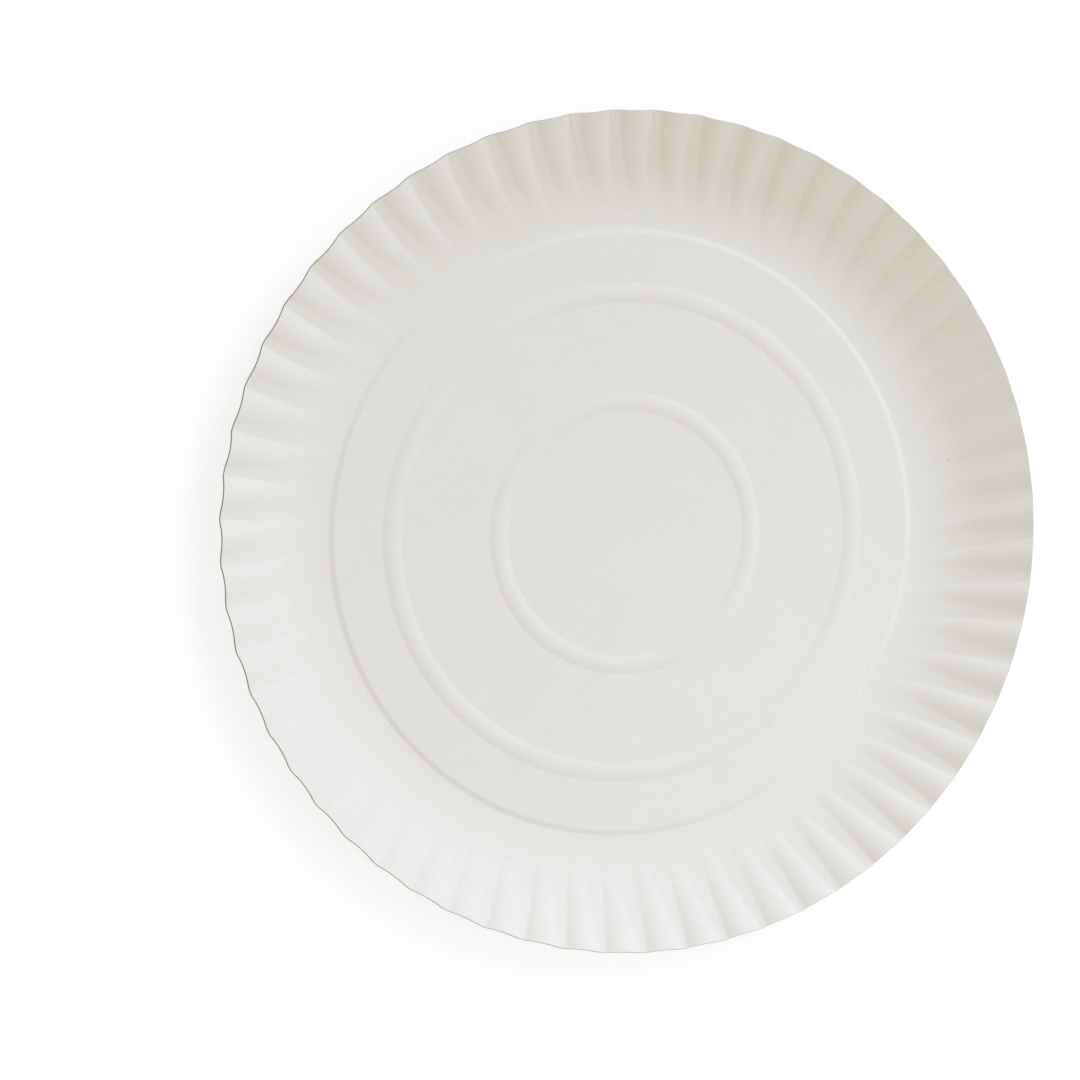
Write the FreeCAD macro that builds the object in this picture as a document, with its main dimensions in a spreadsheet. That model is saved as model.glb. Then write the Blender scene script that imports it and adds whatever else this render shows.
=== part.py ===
import FreeCAD, Part
import os
import Sketcher

# A round paper plate, pressed from one disc of uncoated paperboard.
# Millimetres, +Z up. The origin is the centre of the plate on the surface it rests on.
# Sketches of the section lie in the XZ plane: across is the radius, up is the height.

doc = FreeCAD.newDocument("paper_plate")

# Driving dimensions
sheet = doc.addObject("Spreadsheet::Sheet", "sizes")

sizes = [
    ("plate_radius", "114.3", "centre to the cut edge, at the underside"),
    ("board_thickness", "0.5", "thickness of the paperboard"),
    ("bead_one_radius", "36.05", "middle of the inner bead"),
    ("bead_one_width", "4.5", "width of the inner bead"),
    ("bead_two_radius", "65.5", "middle of the outer bead"),
    ("bead_two_width", "4.8", "width of the outer bead"),
    ("bead_height", "0.4", "how far both beads stand above the floor"),
    ("step_radius", "81.4", "outer edge of the raised floor"),
    ("step_run", "1.5", "width of the slope down to the foot"),
    ("step_drop", "0.6", "height of the floor above the foot"),
    ("foot_width", "1.0", "flat ring that the plate rests on"),
    ("wall_bend", "21", "radius of the bend from the foot to the wall"),
    ("wall_slope", "22", "slope of the straight part of the wall, degrees"),
    ("flute_count", "61", "flutes round the wall"),
    ("flute_start", "0.3", "from the end of the bend to where a flute begins"),
    ("flute_rise", "0.05", "how far a flute stands out of the wall where it begins"),
    ("flute_spread", "1.7", "angle between a flute's back and the wall, degrees"),
    ("flute_round", "11.5", "radius of a flute's rounded back"),
]

for row, (alias, text, note) in enumerate(sizes, start=1):
    sheet.set(f"A{row}", note)
    sheet.set(f"B{row}", text)
    sheet.setAlias(f"B{row}", alias)
doc.recompute()


def number(expression):
    """The present value of an expression over the sheet."""
    found = sheet.evalExpression(expression)
    return float(getattr(found, "Value", found))


# Places that follow from the driving dimensions, as expressions
THICK = "sizes.board_thickness"
SLOPE = "(sizes.wall_slope * 1 deg)"
SPREAD = "(sizes.flute_spread * 1 deg)"
FLOOR_TOP = f"({THICK} + sizes.step_drop)"
FOOT_IN = "(sizes.step_radius + sizes.step_run)"
FOOT_OUT = f"({FOOT_IN} + sizes.foot_width)"
BEND_CENTRE = f"({THICK} + sizes.wall_bend)"
# The step's corners lie this much further in on the underside than on the eating side
CORNER_SHIFT = f"({THICK} * tan(atan(sizes.step_drop / sizes.step_run) / 2))"
# A bead's two flanks are each this part of its width
BEAD_FLANKS = 3
# The board is pressed a little larger than the plate and then trimmed
TRIM_BOARDS = 6
BLANK = f"(sizes.plate_radius + {TRIM_BOARDS} * {THICK})"
# The tool that presses a flute is one flute wide at the cut edge and a quarter as deep
TOOL_HALF = "(sizes.plate_radius * sin(180 deg / sizes.flute_count))"
TOOL_DEPTH = f"({TOOL_HALF} / 2)"

body = doc.addObject("PartDesign::Body", "plate")
body.Label = "plate"


def origin_feature(role):
    """A plane or axis of the body's own origin."""
    for feature in body.Origin.OriginFeatures:
        if feature.Role == role:
            return feature
    raise ValueError(role)


def new_sketch(name, role):
    """An empty sketch on one of the body's origin planes."""
    sketch = body.newObject("Sketcher::SketchObject", name)
    sketch.AttachmentSupport = [(origin_feature(role), "")]
    sketch.MapMode = "FlatFace"
    return sketch


def bind(sketch, constraint, expression):
    """Add a constraint whose value follows an expression."""
    index = sketch.addConstraint(constraint)
    sketch.setExpression(f"Constraints[{index}]", expression)


def pin(sketch, geometry, end, across, up):
    """Hold one point of a sketch at a place given by two expressions."""
    for kind, expression in (("DistanceX", across), ("DistanceY", up)):
        value = number(expression)
        if value < 0:
            bind(sketch, Sketcher.Constraint(kind, geometry, end, -1, 1, -value), f"-({expression})")
        else:
            bind(sketch, Sketcher.Constraint(kind, -1, 1, geometry, end, value), expression)


def point(across, up):
    """A sketch point at the present values of two expressions."""
    return FreeCAD.Vector(number(across), number(up), 0)


def arc_bulging_right(start, finish, radius):
    """An arc from start to finish that bulges to the right of the way along."""
    chord = finish - start
    right = FreeCAD.Vector(chord.y, -chord.x, 0).normalize()
    centre = (start + finish) / 2 - right * (radius ** 2 - (chord.Length / 2) ** 2) ** 0.5
    return Part.ArcOfCircle(start, centre + right * radius, finish)


def curve_towards(start, pull, finish):
    """A smooth curve that sets off from start towards pull and runs from there into finish."""
    curve = Part.BSplineCurve()
    curve.buildFromPolesMultsKnots([start, pull, finish], [3, 3], [0, 1], False, 2)
    return curve


def closed_outline(sketch, corners, arcs, curves):
    """Edges from corner to corner, lines unless arcs or curves names the edge.

    An arc is given by its radius, a curve by the point that it is pulled towards.
    """
    for index, corner in enumerate(corners):
        start = point(*corner)
        finish = point(*corners[(index + 1) % len(corners)])
        if index in arcs:
            radius = arcs[index]
            sketch.addGeometry(arc_bulging_right(start, finish, number(radius)))
            bind(sketch, Sketcher.Constraint("Radius", index, number(radius)), radius)
        elif index in curves:
            sketch.addGeometry(curve_towards(start, point(*curves[index]), finish))
        else:
            sketch.addGeometry(Part.LineSegment(start, finish))
    for index, corner in enumerate(corners):
        following = (index + 1) % len(corners)
        sketch.addConstraint(Sketcher.Constraint("Coincident", index, 2, following, 1))
        pin(sketch, index, 1, *corner)
    for index, pull in curves.items():
        # The sketch shows a curve's three poles as circles, and the second is the pull
        poles = sketch.GeometryCount
        sketch.exposeInternalGeometry(index)
        pin(sketch, poles + 1, 3, *pull)


def wall_end(bend):
    """Where the bend of the given radius runs into the straight part of the wall."""
    return f"({FOOT_OUT} + {bend} * sin({SLOPE}))", f"({BEND_CENTRE} - {bend} * cos({SLOPE}))"


def section_below(offset, depth):
    """Everything below one face of the board, down to a depth under the resting surface.

    The offset is 0 for the eating side and the board's thickness for the underside.
    """
    floor = f"({FLOOR_TOP} - {offset})"
    foot = f"({THICK} - {offset})"
    shift = f"({CORNER_SHIFT} * {offset} / {THICK})"
    corners = [("0", floor)]
    for bead in ("bead_one", "bead_two"):
        middle = f"sizes.{bead}_radius"
        flank = f"(sizes.{bead}_width / {BEAD_FLANKS})"
        lean = f"({offset} * tan(atan(sizes.bead_height / {flank}) / 2))"
        half = f"(sizes.{bead}_width / 2 - {lean})"
        crest = f"({floor} + sizes.bead_height)"
        corners.append((f"{middle} - {half}", floor))
        corners.append((f"{middle} - {half} + {flank}", crest))
        corners.append((f"{middle} + {half} - {flank}", crest))
        corners.append((f"{middle} + {half}", floor))
    corners.append((f"sizes.step_radius - {shift}", floor))
    corners.append((f"{FOOT_IN} - {shift}", foot))
    bend = f"(sizes.wall_bend + {offset})"
    across, up = wall_end(bend)
    curves = {len(corners): (f"{FOOT_OUT} + {bend} * tan({SLOPE} / 2)", foot)}
    corners.append((FOOT_OUT, foot))
    corners.append((across, up))
    corners.append((BLANK, f"{up} + ({BLANK} - {across}) * tan({SLOPE})"))
    corners.append((BLANK, f"-{depth}"))
    corners.append(("0", f"-{depth}"))
    return corners, {}, curves


# A flute's back is a straight round bar, tilted from the wall by the spread angle: it stands a
# little out of the wall where it begins and further out towards the edge
BEND_END = wall_end("sizes.wall_bend")
START_ACROSS = f"({BEND_END[0]} + sizes.flute_start * cos({SLOPE}))"
START_UP = f"({BEND_END[1]} + sizes.flute_start * sin({SLOPE}))"
TILT = f"({SLOPE} + {SPREAD})"


def flute_path(name):
    """The line that a flute's bar follows, from the place on the wall where it begins."""
    path = new_sketch(name, "XZ_Plane")
    path.setExpression("AttachmentOffset.Base.x", START_ACROSS)
    path.setExpression("AttachmentOffset.Base.y", START_UP)
    path.setExpression("AttachmentOffset.Rotation.Angle", TILT)
    run = f"(({BLANK} - {START_ACROSS}) / cos({SLOPE}))"
    path.addGeometry(Part.LineSegment(point("0", "0"), point(run, "0")))
    pin(path, 0, 1, "0", "0")
    pin(path, 0, 2, run, "0")
    return path


def flute_section(name, offset):
    """The bar's section, square to the start of its path: a round back on straight sides."""
    section = new_sketch(name, "YZ_Plane")
    section.AttachmentOffset = FreeCAD.Placement(
        FreeCAD.Vector(0, 0, 0), FreeCAD.Rotation(FreeCAD.Vector(-1, 0, 0), number(TILT)))
    section.setExpression("AttachmentOffset.Base.y", START_UP)
    section.setExpression("AttachmentOffset.Base.z", START_ACROSS)
    section.setExpression("AttachmentOffset.Rotation.Angle", TILT)
    back = f"(sizes.flute_round - {offset})"
    shoulder = f"(sqrt({back} ^ 2 - {TOOL_HALF} ^ 2) - sizes.flute_round + sizes.flute_rise)"
    corners = [(TOOL_HALF, shoulder), (f"-{TOOL_HALF}", shoulder),
               (f"-{TOOL_HALF}", f"-{TOOL_DEPTH}"), (TOOL_HALF, f"-{TOOL_DEPTH}")]
    closed_outline(section, corners, {0: back}, {})
    return section


def revolved(kind, name, sketch):
    """A full turn of a sketch about the plate's axis, added or cut away."""
    feature = body.newObject(kind, name)
    feature.Profile = sketch
    feature.ReferenceAxis = (sketch, ["V_Axis"])
    feature.Angle = 360
    return feature


def flutes_all_round(kind, name, offset):
    """One flute along its path, added or cut away, and its copies round the plate."""
    path = flute_path(f"{name}_path")
    section = flute_section(f"{name}_section", offset)
    flute = body.newObject(kind, name)
    flute.Profile = section
    flute.Spine = (path, ["Edge1"])
    doc.recompute()
    copies = body.newObject("PartDesign::PolarPattern", f"{name}_copies")
    copies.Originals = [flute]
    copies.Axis = (origin_feature("Z_Axis"), [""])
    copies.Angle = 360
    copies.setExpression("Occurrences", "sizes.flute_count")
    body.Tip = copies
    doc.recompute()
    return copies


# The form of the eating side, as a solid block with the flutes standing out of its wall
eating_side = new_sketch("eating_side", "XZ_Plane")
closed_outline(eating_side, *section_below("0", TOOL_DEPTH))
block = revolved("PartDesign::Revolution", "block", eating_side)
flutes_all_round("PartDesign::AdditivePipe", "flute_back", "0")

# The form of the underside, taken away from it: what stays is the board
underside = new_sketch("underside", "XZ_Plane")
closed_outline(underside, *section_below(THICK, f"({TOOL_DEPTH} + {THICK})"))
hollow = revolved("PartDesign::Groove", "hollow", underside)
doc.recompute()
flutes_all_round("PartDesign::SubtractivePipe", "flute_hollow", THICK)

# The cut edge, square to the wall: all that lies outside it is trimmed off
edge_bend = f"(sizes.wall_bend + {THICK})"
edge_across, edge_up = wall_end(edge_bend)
edge_up = f"({edge_up} + (sizes.plate_radius - {edge_across}) * tan({SLOPE}))"
outside = f"({BLANK} + {TOOL_DEPTH})"
reach = f"({outside} - sizes.plate_radius)"
low = f"({edge_up} - {THICK} * cos({SLOPE}))"
high = f"({edge_up} + {reach} * cos({SLOPE}))"
trimmings = new_sketch("trimmings", "XZ_Plane")
closed_outline(trimmings, [
    (f"sizes.plate_radius + {THICK} * sin({SLOPE})", low),
    (outside, low),
    (outside, high),
    (f"sizes.plate_radius - {reach} * sin({SLOPE})", high),
], {}, {})
cut_edge = revolved("PartDesign::Groove", "cut_edge", trimmings)
body.Tip = cut_edge
doc.recompute()

# Nothing is written unless every object is sound and the plate is one thin sheet
for item in doc.Objects:
    if "Invalid" in item.State or "Error" in item.State:
        raise RuntimeError(f"{item.Label} did not build: {item.State}")
plate = body.Shape
if plate.isNull() or not plate.isValid() or len(plate.Solids) != 1:
    raise RuntimeError("the plate is not one valid solid")
if plate.Volume > 0.5 * block.Shape.Volume:
    raise RuntimeError("the underside was not taken away")

os.makedirs("parts", exist_ok=True)
plate.exportStep(f"parts/{body.Label}.step")
print(f"{body.Label}: volume {plate.Volume:.1f} mm3, {len(plate.Faces)} faces")
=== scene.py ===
import math
import random

import bpy
from mathutils import Matrix, Vector


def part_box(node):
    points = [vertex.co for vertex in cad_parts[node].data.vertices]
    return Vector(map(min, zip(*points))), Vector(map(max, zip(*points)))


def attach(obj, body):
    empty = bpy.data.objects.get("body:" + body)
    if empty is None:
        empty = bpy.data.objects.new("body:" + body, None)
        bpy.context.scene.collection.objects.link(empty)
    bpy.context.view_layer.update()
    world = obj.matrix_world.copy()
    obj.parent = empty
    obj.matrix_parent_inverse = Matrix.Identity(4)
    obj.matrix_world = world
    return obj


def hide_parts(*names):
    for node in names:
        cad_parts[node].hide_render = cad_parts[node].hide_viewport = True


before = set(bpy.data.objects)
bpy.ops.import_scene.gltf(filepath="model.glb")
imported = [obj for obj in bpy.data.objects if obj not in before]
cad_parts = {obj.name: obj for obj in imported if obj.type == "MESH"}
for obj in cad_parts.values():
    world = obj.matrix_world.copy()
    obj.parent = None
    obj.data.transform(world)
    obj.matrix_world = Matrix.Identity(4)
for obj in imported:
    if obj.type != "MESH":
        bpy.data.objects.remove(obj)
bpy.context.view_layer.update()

MM = 0.001

# The plate's section, in metres, as radius and height of the eating side
FOOT_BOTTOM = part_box("plate")[0].z
BOARD = 0.5 * MM
PLATE_RADIUS = 114.3 * MM
STEP_DROP = 0.5 * MM
FOOT_HEIGHT = FOOT_BOTTOM + BOARD
FLOOR_HEIGHT = FOOT_HEIGHT + STEP_DROP
FAN_RADIUS = 12 * MM
BEADS = ((35.85 * MM, 5.1 * MM), (65.45 * MM, 5.3 * MM))
BEAD_HEIGHT = 0.42 * MM
BEAD_STEPS = 5
CREASE = 0.09 * MM
STEP_START = 81.15 * MM
STEP_ROUND = 0.6 * MM
STEP_END = 82.75 * MM
FOOT_OUTER = 83.1 * MM
WALL_BEND_START = 81 * MM
WALL_BEND = 43 * MM
WALL_SLOPE = math.radians(26)
WALL_RINGS = 21

# The flutes: each has a raised back and a land beside it, begins in the bend and widens outwards
FLUTES = 61
PITCH = 2 * math.pi / FLUTES
FIRST_CREASE = math.radians(-2.1) - 0.1 * PITCH
FLUTE_FADE_IN = (83.4 * MM, 103 * MM)
BACK_COLUMNS = 10
LAND_COLUMNS = 6
FLUTE_COLUMNS = BACK_COLUMNS + LAND_COLUMNS
COLUMNS = FLUTES * FLUTE_COLUMNS
COLUMN_CROWDING = 0.1
FLUTE_ROUND = 11.5 * MM
SOFT_CREASE = 0.045
SOFT_STEPS = 3

# The directions of the lamps, the camera and the uneven pressing are those of the camera's view,
# in which the plate is turned by this angle
PLATE_TURN = math.radians(-2.5)

# How uneven the flutes are. Three numbers in a row are a mean, the change round the plate and the
# direction, in degrees, in which the value is highest
BACK_INNER = (0.5, 0.035, 90)
BACK_OUTER = (0.715, 0.02, 240)
BACK_FROM = 93 * MM
BACK_SPAN = 15 * MM
BACK_FLOOR = -1 / 3
DEPTH = (1.04, 0.2, 320)
DEPTH_ON_TWO_SIDES = 0.11
DEEPEST = 0.66
DEEPEST_SIDE = 350
DEEPEST_POWER = 6
LATE_SIDE = 355
EARLY_SIDE = 255
EARLY_SHARE = 0.3
LAND_TILT = (math.radians(1.5), math.radians(5), 172)
LAND_TILT_RISE = (92 * MM, 108 * MM)
LAND_TILT_INSIDE = 0.3

# A leaning back is its way less its way to the fourth, made as high as an even one by this factor
LEANING_BACK = 2.12

# How far the creases swing to one side towards the floor, and a little at the edge, in pitches
SWING = (0.11, 0.09, 80)
SWING_FROM = 112 * MM
SWING_SPAN = 16 * MM
SWING_LONGEST = 1.5
EDGE_SWINGS = ((0.08, 195), (0.03, 335))
EDGE_SWING_RISE = (100 * MM, 110 * MM)
CREASE_SHIFT = (0, 0.06, 230)

# How much chance changes each flute's depth, as a share, and its place, in pitches
CHANCE_SEED = 61
STRENGTH_SPREAD = 0.12
PLACE_SPREAD = 0.02

# How the edge is out of round: waves round the plate, size and where the first one crests
EDGE_WAVES = ((1, 0.7 * MM, 63), (2, 1.03 * MM, 149), (3, 0.19 * MM, 37))
EDGE_PULL_POWER = 1.5

# A dark fleck in the paper, on the wall
FLECK_RADIUS = 95.1 * MM
FLECK_ANGLE = 11.25
FLECK_SIZE = 0.3 * MM
FLECK_COLOUR = (0.45, 0.4, 0.3)

# Short folds at the edge: direction in degrees and radius in mm, of the outer and the inner end
FOLDS = (
    (99.5, 114.3, 98.6, 105.8),
    (100.9, 114.3, 100.6, 111.3),
    (94, 114.3, 93.2, 109.3),
    (87.8, 114.3, 87.1, 110.2),
    (82.7, 114.3, 82.2, 111.6),
    (4.5, 114.3, 4.2, 110),
    (-1.1, 114.3, -1.5, 110.4),
    (-7.3, 114.3, -7.6, 110.9),
)
FOLD_WIDTH = 0.45 * MM
FOLD_HEIGHT = 0.1 * MM

# The paper's colours, where its clouds are dark and light, and the shade of its fibres
CLOUD_DARK = (0.775, 0.763, 0.705)
CLOUD_LIGHT = (0.783, 0.773, 0.718)
FIBRE_DARK = (0.975, 0.975, 0.97)
WHITE = (1, 1, 1)

# The cut edge has its own tan colour, with painted shade that darkens it towards one side of the plate
CUT_PAINTED_SHADE = (0.42, 0.38, 0.3)
CUT_LIGHT = (0.72, 0.69, 0.62)
CUT_GRAIN = (0.8, 0.8, 0.8)
CUT_PAINTED_SHADE_SIDE = 172
CUT_PAINTED_SHADE_SPAN = (45 * MM, 105 * MM)

# The floor is a hair below the foot. It glows where the camera sees it, and takes a faint shadow
GROUND_SIZE = 12
GROUND_GAP = 0.02 * MM
GROUND_COLOUR = (0.75, 0.75, 0.75)
GROUND_GLOW = (0.783, 0.79, 0.81)
GROUND_SHADOW = (0.26, 0.25, 0.225)

# Lamps: soft light from all round, a wide key lamp at the upper right and a panel at the lower right
SKY_COLOUR = (1, 0.942, 0.677)
SKY_STRENGTH = 0.586
KEY_AZIMUTH = math.radians(54)
KEY_ELEVATION = math.radians(39)
KEY_COLOUR = (0.639, 0.716, 1.0)
KEY_STRENGTH = 1.907
KEY_SPREAD = math.radians(35)
PANEL_PLACE = (0.1685, -0.1414, 0.38)
PANEL_SIZE = 0.3
PANEL_COLOUR = (0.648, 0.67, 1.0)
PANEL_POWER = 0.555

# The camera: its place, and the directions to its right and out of its back
CAMERA_LENS = 134.65
CAMERA_SENSOR = 36
CAMERA_REACH = 20
CAMERA_PLACE = (-329.0 * MM, 87.35 * MM, 1045.1 * MM)
CAMERA_RIGHT = (0.959962, 0, 0.280129)
CAMERA_BACK = (-0.279205, 0.081157, 0.956796)


def to_plate(x, y, z):
    """A place or direction of the camera's view, in the frame of the plate."""
    return Matrix.Rotation(PLATE_TURN, 3, "Z") @ Vector((x, y, z))


def deselect():
    """Leaves edit mode and selects nothing."""
    if bpy.context.object and bpy.context.object.mode != "OBJECT":
        bpy.ops.object.mode_set(mode="OBJECT")
    bpy.ops.object.select_all(action="DESELECT")


def bead_rings(middle, width):
    """Rings over one bead: a low round back between two narrow creases in the level floor."""
    start = middle - width / 2
    end = middle + width / 2
    inside = width / 2 - CREASE
    rings = [(start - 3 * CREASE, FLOOR_HEIGHT), (start - CREASE, FLOOR_HEIGHT)]
    for step in range(BEAD_STEPS + 1):
        across = (2 * step / BEAD_STEPS - 1) * inside
        rise = BEAD_HEIGHT * (1 - (2 * across / width) ** 2)
        rings.append((middle + across, FLOOR_HEIGHT + rise))
    rings += [(end + CREASE, FLOOR_HEIGHT), (end + 3 * CREASE, FLOOR_HEIGHT)]
    return rings


def step_rings():
    """Rings down the step from the floor to the foot: a rounded shoulder and a narrow crease."""
    slant = STEP_DROP / (STEP_END - STEP_START - STEP_ROUND / 2)
    return [
        (STEP_START - 3 * CREASE, FLOOR_HEIGHT),
        (STEP_START, FLOOR_HEIGHT),
        (STEP_START + STEP_ROUND / 2, FLOOR_HEIGHT - slant * STEP_ROUND / 8),
        (STEP_START + STEP_ROUND, FLOOR_HEIGHT - slant * STEP_ROUND / 2),
        (STEP_END - CREASE, FOOT_HEIGHT + slant * CREASE),
        (STEP_END + CREASE, FOOT_HEIGHT),
        (STEP_END + 3 * CREASE, FOOT_HEIGHT),
    ]


def wall_height(radius):
    """Height of the eating side between the foot and the edge, without the flutes."""
    bend_end = WALL_BEND_START + WALL_BEND * math.sin(WALL_SLOPE)
    start = FOOT_OUTER - WALL_BEND_START
    bent = min(radius, bend_end) - WALL_BEND_START
    rise = math.sqrt(WALL_BEND ** 2 - start ** 2) - math.sqrt(WALL_BEND ** 2 - bent ** 2)
    return FOOT_HEIGHT + rise + max(0, radius - bend_end) * math.tan(WALL_SLOPE)


def wall_slope(radius):
    """Slope of the wall there, without the flutes."""
    bent = max(radius - WALL_BEND_START, 0) / WALL_BEND
    return math.asin(min(bent, math.sin(WALL_SLOPE)))


def section_rings():
    """Radius and height of every ring of the sheet, from the middle to the edge."""
    rings = [(FAN_RADIUS, FLOOR_HEIGHT)]
    for middle, width in BEADS:
        rings += bead_rings(middle, width)
    rings += step_rings()
    for step in range(WALL_RINGS):
        radius = FOOT_OUTER + (PLATE_RADIUS - FOOT_OUTER) * step / (WALL_RINGS - 1)
        rings.append((radius, wall_height(radius)))
    return rings


def smooth_step(low, high, value):
    """0 below low, 1 above high and a soft rise between."""
    share = min(max((value - low) / (high - low), 0), 1)
    return share * share * (3 - 2 * share)


def unevenness(angle, side):
    """1 in the direction that side gives in degrees, -1 across from it, in waves between."""
    return math.cos(angle - PLATE_TURN - math.radians(side))


def uneven(angle, mean, change, side):
    """A value that is highest on one side of the plate and lowest across from it."""
    return mean + change * unevenness(angle, side)


def back_share(radius, angle):
    """How much of a pitch a flute's raised back takes up at this radius."""
    inner = uneven(angle, *BACK_INNER)
    outer = uneven(angle, *BACK_OUTER)
    return inner + (outer - inner) * max((radius - BACK_FROM) / BACK_SPAN, BACK_FLOOR)


def crease_swing(radius, angle):
    """How far a crease has swung from its straight radius, in pitches."""
    way = min(max((SWING_FROM - radius) / SWING_SPAN, 0), SWING_LONGEST)
    at_edge = sum(size * max(0, unevenness(angle, side)) ** 2 for size, side in EDGE_SWINGS)
    at_edge *= smooth_step(*EDGE_SWING_RISE, radius)
    return uneven(angle, *CREASE_SHIFT) - uneven(angle, *SWING) * way ** 2 - at_edge


def flute_depth(angle):
    """Depth of the flutes here against the mean."""
    on_two_sides = DEPTH_ON_TWO_SIDES * math.cos(2 * (angle - PLATE_TURN))
    deepest = DEEPEST * max(0, unevenness(angle, DEEPEST_SIDE)) ** DEEPEST_POWER
    return uneven(angle, *DEPTH) + on_two_sides + deepest


def late_crest(angle):
    """1 where a flute's back rises gently and falls steeply, negative where it is the other way."""
    late = max(0, unevenness(angle, LATE_SIDE)) ** 2
    return late - EARLY_SHARE * max(0, unevenness(angle, EARLY_SIDE))


def land_tilt(radius, angle):
    """Slope of the lands between the backs here."""
    rise = smooth_step(*LAND_TILT_RISE, radius)
    return uneven(angle, *LAND_TILT) * (LAND_TILT_INSIDE + (1 - LAND_TILT_INSIDE) * rise)


def edge_pull(angle):
    """How far the edge lies out of round here."""
    pull = 0.0
    for waves, size, crest in EDGE_WAVES:
        pull += size * math.cos(waves * (angle - PLATE_TURN - math.radians(crest)))
    return pull


def flute_height(radius, share, phase, late, tilt):
    """Height of a flute over the wall: a round back from phase 0 to its share, then a sloping land."""
    width = share * PITCH * radius
    back = width ** 2 / (8 * FLUTE_ROUND)
    land = (1 - share) * PITCH * radius * math.tan(tilt)

    def sharp_height(place):
        place %= 1
        if place < share:
            way = place / share
            far = way if late > 0 else 1 - way
            even = 4 * way * (1 - way)
            leaning = LEANING_BACK * (far - far ** 4)
            return back * (even + abs(late) * (leaning - even)) + land * way
        return land * (1 - place) / (1 - share)

    # The creases are soft: the height is a mean of the places around
    sides = range(-SOFT_STEPS, SOFT_STEPS + 1)
    heights = [sharp_height(phase + SOFT_CREASE * side / SOFT_STEPS) for side in sides]
    return sum(heights) / len(heights) * smooth_step(*FLUTE_FADE_IN, radius)


def column_phase(column, share):
    """Where in its pitch a column of the sheet lies: columns crowd at the two creases."""
    if column < BACK_COLUMNS:
        way = column / BACK_COLUMNS
        return share * (way - COLUMN_CROWDING * math.sin(2 * math.pi * way))
    way = (column - BACK_COLUMNS) / LAND_COLUMNS
    return share + (1 - share) * (way - COLUMN_CROWDING * math.sin(2 * math.pi * way))


def lay_out_sheet():
    """A round sheet with beads, step and wall, extruded ring by ring from the middle of the floor."""
    rings = section_rings()
    deselect()
    radius, height = rings[0]
    bpy.ops.mesh.primitive_circle_add(
        vertices=COLUMNS, radius=radius, fill_type="TRIFAN", location=(0, 0, height))
    sheet = bpy.context.object
    bpy.ops.object.transform_apply(location=True, rotation=True, scale=True)
    bpy.ops.object.mode_set(mode="EDIT")
    bpy.ops.mesh.select_mode(type="EDGE")
    bpy.ops.mesh.select_all(action="DESELECT")
    bpy.ops.mesh.select_non_manifold(extend=False)
    for outer, outer_height in rings[1:]:
        bpy.ops.mesh.extrude_edges_move(
            TRANSFORM_OT_translate={"value": (0, 0, outer_height - height)})
        grow = outer / radius
        bpy.ops.transform.resize(value=(grow, grow, 1), center_override=(0, 0, 0))
        radius, height = outer, outer_height
    bpy.ops.mesh.select_all(action="SELECT")
    bpy.ops.mesh.normals_make_consistent(inside=False)
    bpy.ops.object.mode_set(mode="OBJECT")
    if sheet.data.polygons[0].normal.z < 0:
        sheet.data.flip_normals()
    return sheet


def press_flutes(sheet):
    """Moves the sheet's vertices to the creases and backs of the flutes."""
    chance = random.Random(CHANCE_SEED)
    strength = [chance.uniform(1 - STRENGTH_SPREAD, 1 + STRENGTH_SPREAD) for flute in range(FLUTES)]
    shift = [chance.uniform(-PLACE_SPREAD, PLACE_SPREAD) for flute in range(FLUTES)]
    for vertex in sheet.data.vertices:
        radius = math.hypot(vertex.co.x, vertex.co.y)
        if radius < FAN_RADIUS / 2:
            continue
        turn = math.atan2(vertex.co.y, vertex.co.x) % (2 * math.pi)
        place = round(turn / (2 * math.pi) * COLUMNS) % COLUMNS
        flute, column = divmod(place, FLUTE_COLUMNS)
        angle = FIRST_CREASE + flute * PITCH
        share = back_share(radius, angle)
        phase = column_phase(column, share)
        lift = flute_height(radius, share, phase, late_crest(angle), land_tilt(radius, angle))
        lift *= flute_depth(angle) * strength[flute]
        sway = shift[flute] * math.sin(math.pi * phase) * smooth_step(*FLUTE_FADE_IN, radius)
        slope = wall_slope(radius)
        angle += (phase + sway) * PITCH
        angle += crease_swing(radius, angle) * PITCH
        outward = max(radius - FOOT_OUTER, 0) / (PLATE_RADIUS - FOOT_OUTER)
        radius += edge_pull(angle) * outward ** EDGE_PULL_POWER - lift * math.sin(slope)
        vertex.co.x = radius * math.cos(angle)
        vertex.co.y = radius * math.sin(angle)
        vertex.co.z += lift * math.cos(slope)


def give_thickness(sheet, paper, cut_edge):
    """Turns the sheet into board, with its own finish on the cut edge."""
    sheet.data.materials.append(paper)
    sheet.data.materials.append(cut_edge)
    deselect()
    bpy.context.view_layer.objects.active = sheet
    sheet.select_set(True)
    board = sheet.modifiers.new("board", "SOLIDIFY")
    board.thickness = BOARD
    board.offset = -1
    board.use_even_offset = True
    board.material_offset_rim = 1
    bpy.ops.object.modifier_apply(modifier=board.name)
    bpy.ops.object.shade_smooth_by_angle(angle=math.radians(40))


def new_material(name):
    """A material with nodes, its node tree and its shader."""
    material = bpy.data.materials.new(name)
    material.use_nodes = True
    return material, material.node_tree, material.node_tree.nodes["Principled BSDF"]


def object_noise(tree, scale, detail):
    """Noise fixed to the plate, whose grains are about one metre over its scale across."""
    coordinates = tree.nodes.new("ShaderNodeTexCoord")
    noise = tree.nodes.new("ShaderNodeTexNoise")
    noise.inputs["Scale"].default_value = scale
    noise.inputs["Detail"].default_value = detail
    tree.links.new(coordinates.outputs["Object"], noise.inputs["Vector"])
    return noise.outputs["Fac"]


def measured(tree, operation, vector):
    """A number that a vector operation makes of each place on the plate, in metres."""
    coordinates = tree.nodes.new("ShaderNodeTexCoord")
    measure = tree.nodes.new("ShaderNodeVectorMath")
    measure.operation = operation
    measure.inputs[1].default_value = vector
    tree.links.new(coordinates.outputs["Object"], measure.inputs[0])
    return measure.outputs["Value"]


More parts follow.
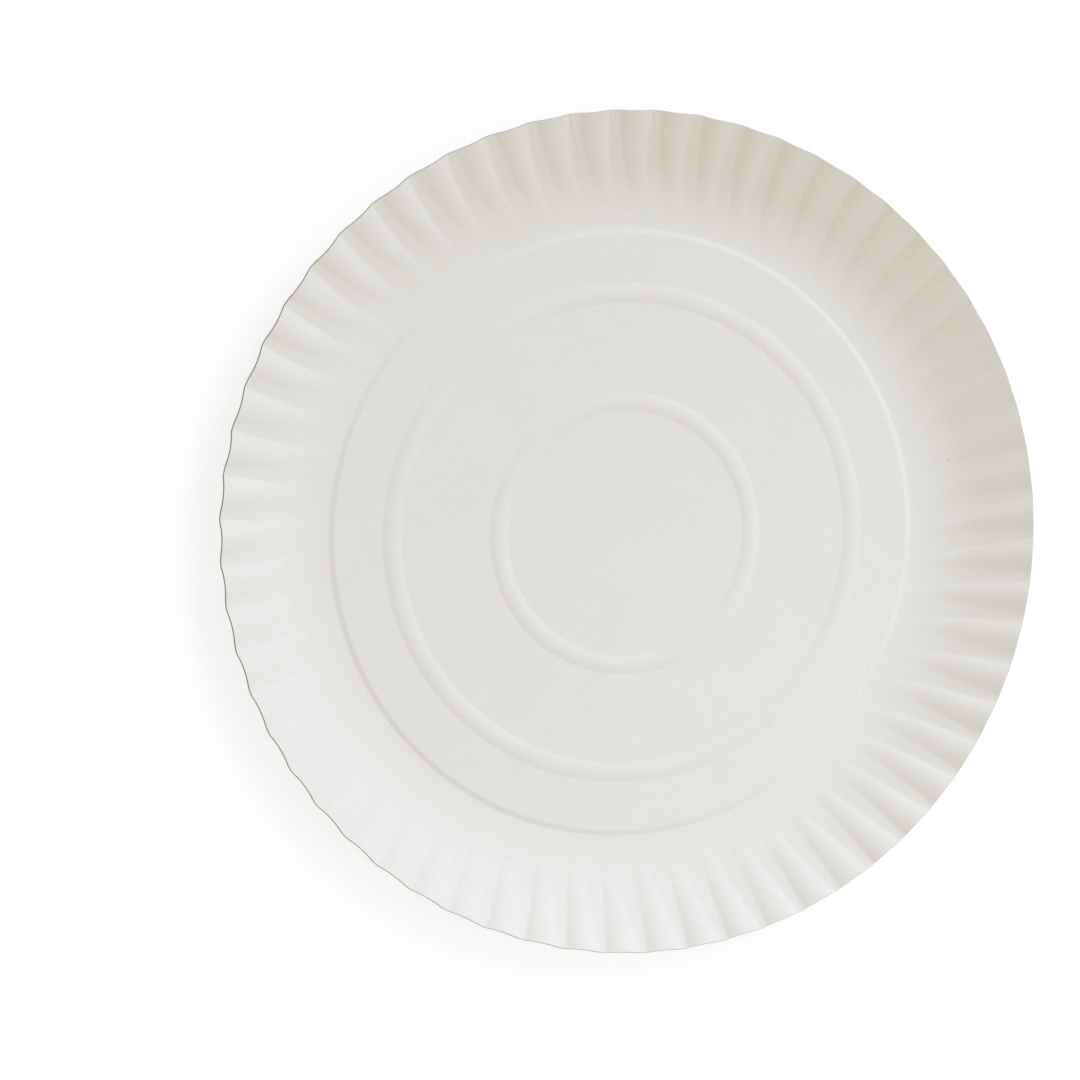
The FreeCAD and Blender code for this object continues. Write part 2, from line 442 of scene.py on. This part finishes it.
def span(tree, value, start, end):
    """A value's way from start to end, as 0 to 1."""
    way = tree.nodes.new("ShaderNodeMapRange")
    way.inputs["From Min"].default_value = start
    way.inputs["From Max"].default_value = end
    tree.links.new(value, way.inputs["Value"])
    return way.outputs["Result"]


def between(tree, factor, first, second, low=0, high=1):
    """A colour that runs from the first to the second as the factor goes from low to high."""
    ramp = tree.nodes.new("ShaderNodeValToRGB")
    ramp.color_ramp.elements[0].position = low
    ramp.color_ramp.elements[0].color = (*first, 1)
    ramp.color_ramp.elements[1].position = high
    ramp.color_ramp.elements[1].color = (*second, 1)
    tree.links.new(factor, ramp.inputs["Fac"])
    return ramp.outputs["Color"]


def multiply(tree, first, second):
    """The product of two colours."""
    mix = tree.nodes.new("ShaderNodeMix")
    mix.data_type = "RGBA"
    mix.blend_type = "MULTIPLY"
    mix.inputs["Factor"].default_value = 1
    tree.links.new(first, mix.inputs["A"])
    tree.links.new(second, mix.inputs["B"])
    return mix.outputs["Result"]


def bump(tree, shader, heights, depth, normal=None):
    """Tiny relief on the surface; returns the normal, so that reliefs can be stacked."""
    relief = tree.nodes.new("ShaderNodeBump")
    relief.inputs["Strength"].default_value = 1
    relief.inputs["Distance"].default_value = depth
    tree.links.new(heights, relief.inputs["Height"])
    if normal:
        tree.links.new(normal, relief.inputs["Normal"])
    tree.links.new(relief.outputs["Normal"], shader.inputs["Normal"])
    return relief.outputs["Normal"]


def on_wall(degrees, radius):
    """A place on the wall, by its direction in the camera's view and its radius."""
    turn = math.radians(degrees)
    place = to_plate(radius * math.cos(turn), radius * math.sin(turn), 0)
    place.z = wall_height(radius)
    return place


def fold(tree, outer, inner):
    """Height of one short fold: 1 at its outer end, running out to its inner end and its sides."""
    run = inner - outer
    coordinates = tree.nodes.new("ShaderNodeTexCoord")
    mapping = tree.nodes.new("ShaderNodeMapping")
    mapping.vector_type = "TEXTURE"
    mapping.inputs["Location"].default_value = outer
    mapping.inputs["Rotation"].default_value = (0, 0, math.atan2(run.y, run.x))
    mapping.inputs["Scale"].default_value = (run.length, FOLD_WIDTH, 1)
    gradient = tree.nodes.new("ShaderNodeTexGradient")
    gradient.gradient_type = "SPHERICAL"
    tree.links.new(coordinates.outputs["Object"], mapping.inputs["Vector"])
    tree.links.new(mapping.outputs["Vector"], gradient.inputs["Vector"])
    return gradient.outputs["Fac"]


def folds(tree):
    """Height of all the short folds at the edge."""
    heights = None
    for outer_angle, outer_radius, inner_angle, inner_radius in FOLDS:
        outer = on_wall(outer_angle, outer_radius * MM)
        inner = on_wall(inner_angle, inner_radius * MM)
        total = tree.nodes.new("ShaderNodeMath")
        total.operation = "ADD"
        total.inputs[0].default_value = 0
        if heights:
            tree.links.new(heights, total.inputs[0])
        tree.links.new(fold(tree, outer, inner), total.inputs[1])
        heights = total.outputs["Value"]
    return heights


def paper_material():
    """Uncoated off-white board: matte, faintly clouded, with short fibres in its surface."""
    material, tree, shader = new_material("uncoated_paperboard")
    fleck = span(tree, measured(tree, "DISTANCE", on_wall(FLECK_ANGLE, FLECK_RADIUS)), 0, FLECK_SIZE)
    fleck = between(tree, fleck, FLECK_COLOUR, WHITE, low=0.4)
    clouds = object_noise(tree, scale=60, detail=4)
    clouds = between(tree, clouds, CLOUD_DARK, CLOUD_LIGHT, low=0.35, high=0.65)
    fibres = object_noise(tree, scale=1400, detail=3)
    fibres = between(tree, fibres, FIBRE_DARK, WHITE, low=0.35, high=0.6)
    tree.links.new(multiply(tree, multiply(tree, clouds, fibres), fleck), shader.inputs["Base Color"])
    shader.inputs["Roughness"].default_value = 0.85
    shader.inputs["Specular IOR Level"].default_value = 0.25
    fine = bump(tree, shader, object_noise(tree, scale=1600, detail=4), 0.02 * MM)
    waves = bump(tree, shader, object_noise(tree, scale=260, detail=2), 0.03 * MM, fine)
    bump(tree, shader, folds(tree), FOLD_HEIGHT, waves)
    return material


def cut_edge_material():
    """The sheared edge of the board: rougher and darker than its faces, with painted shade that makes
    it darkest on one side.
    """
    material, tree, shader = new_material("cut_edge")
    grain = object_noise(tree, scale=900, detail=3)
    grain = between(tree, grain, CUT_GRAIN, WHITE, low=0.3, high=0.7)
    # Painted shade: the edge's colour runs to a darker copy of itself towards one side of the plate
    turn = math.radians(CUT_PAINTED_SHADE_SIDE)
    painted_shade_side = to_plate(math.cos(turn), math.sin(turn), 0)
    painted_shade = span(tree, measured(tree, "DOT_PRODUCT", painted_shade_side), *CUT_PAINTED_SHADE_SPAN)
    painted_shade = between(tree, painted_shade, CUT_LIGHT, CUT_PAINTED_SHADE)
    tree.links.new(multiply(tree, grain, painted_shade), shader.inputs["Base Color"])
    shader.inputs["Roughness"].default_value = 0.95
    shader.inputs["Specular IOR Level"].default_value = 0.1
    bump(tree, shader, object_noise(tree, scale=2500, detail=3), 0.05 * MM)
    return material


def make_plate():
    """The visible plate, in place of the plain solid."""
    sheet = lay_out_sheet()
    press_flutes(sheet)
    give_thickness(sheet, paper_material(), cut_edge_material())
    sheet.name = "pressed_plate"
    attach(sheet, "root")
    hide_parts("plate")


def floor_material():
    """White that glows to the camera and keeps a faint shadow, and is plain white to all else."""
    material, tree, shader = new_material("white_floor")
    tree.nodes.remove(shader)
    bounce = tree.nodes.new("ShaderNodeBsdfDiffuse")
    bounce.inputs["Color"].default_value = (*GROUND_COLOUR, 1)
    shadow = tree.nodes.new("ShaderNodeBsdfDiffuse")
    shadow.inputs["Color"].default_value = (*GROUND_SHADOW, 1)
    glow = tree.nodes.new("ShaderNodeEmission")
    glow.inputs["Color"].default_value = (*GROUND_GLOW, 1)
    glow.inputs["Strength"].default_value = 1
    seen = tree.nodes.new("ShaderNodeAddShader")
    tree.links.new(shadow.outputs["BSDF"], seen.inputs[0])
    tree.links.new(glow.outputs["Emission"], seen.inputs[1])
    path = tree.nodes.new("ShaderNodeLightPath")
    choose = tree.nodes.new("ShaderNodeMixShader")
    tree.links.new(path.outputs["Is Camera Ray"], choose.inputs["Fac"])
    tree.links.new(bounce.outputs["BSDF"], choose.inputs[1])
    tree.links.new(seen.outputs["Shader"], choose.inputs[2])
    tree.links.new(choose.outputs["Shader"], tree.nodes["Material Output"].inputs["Surface"])
    return material


def make_floor():
    """A plain white floor under the plate."""
    deselect()
    bpy.ops.mesh.primitive_plane_add(size=GROUND_SIZE, location=(0, 0, FOOT_BOTTOM - GROUND_GAP))
    floor = bpy.context.object
    floor.name = "white_floor"
    floor.data.materials.append(floor_material())


def hang_lamp(name, kind, colour, power):
    """A lamp in the scene, not yet turned to the plate."""
    lamp = bpy.data.lights.new(name, kind)
    lamp.color = colour
    lamp.energy = power
    hung = bpy.data.objects.new(name, lamp)
    bpy.context.scene.collection.objects.link(hung)
    return hung


def light_up():
    """The sky and the lamps."""
    world = bpy.data.worlds.new("sky")
    bpy.context.scene.world = world
    world.use_nodes = True
    sky = world.node_tree.nodes["Background"]
    sky.inputs["Color"].default_value = (*SKY_COLOUR, 1)
    sky.inputs["Strength"].default_value = SKY_STRENGTH
    key = hang_lamp("key", "SUN", KEY_COLOUR, KEY_STRENGTH)
    key.data.angle = KEY_SPREAD
    level = math.cos(KEY_ELEVATION)
    towards = to_plate(
        level * math.cos(KEY_AZIMUTH), level * math.sin(KEY_AZIMUTH), math.sin(KEY_ELEVATION))
    key.rotation_euler = towards.to_track_quat("Z", "Y").to_euler()
    panel = hang_lamp("panel", "AREA", PANEL_COLOUR, PANEL_POWER)
    panel.data.size = PANEL_SIZE
    panel.location = to_plate(*PANEL_PLACE)
    panel.rotation_euler = panel.location.to_track_quat("Z", "Y").to_euler()


def set_camera():
    """The camera looks down on the plate from a little to the left."""
    lens = bpy.data.cameras.new("camera")
    lens.sensor_width = CAMERA_SENSOR
    lens.lens = CAMERA_LENS
    lens.clip_end = CAMERA_REACH
    camera = bpy.data.objects.new("camera", lens)
    bpy.context.scene.collection.objects.link(camera)
    right = to_plate(*CAMERA_RIGHT)
    back = to_plate(*CAMERA_BACK)
    pose = Matrix((right, back.cross(right), back)).transposed().to_4x4()
    pose.translation = to_plate(*CAMERA_PLACE)
    camera.matrix_world = pose
    bpy.context.scene.camera = camera


make_plate()
make_floor()
light_up()
set_camera()
bpy.context.scene.view_settings.view_transform = "Standard"
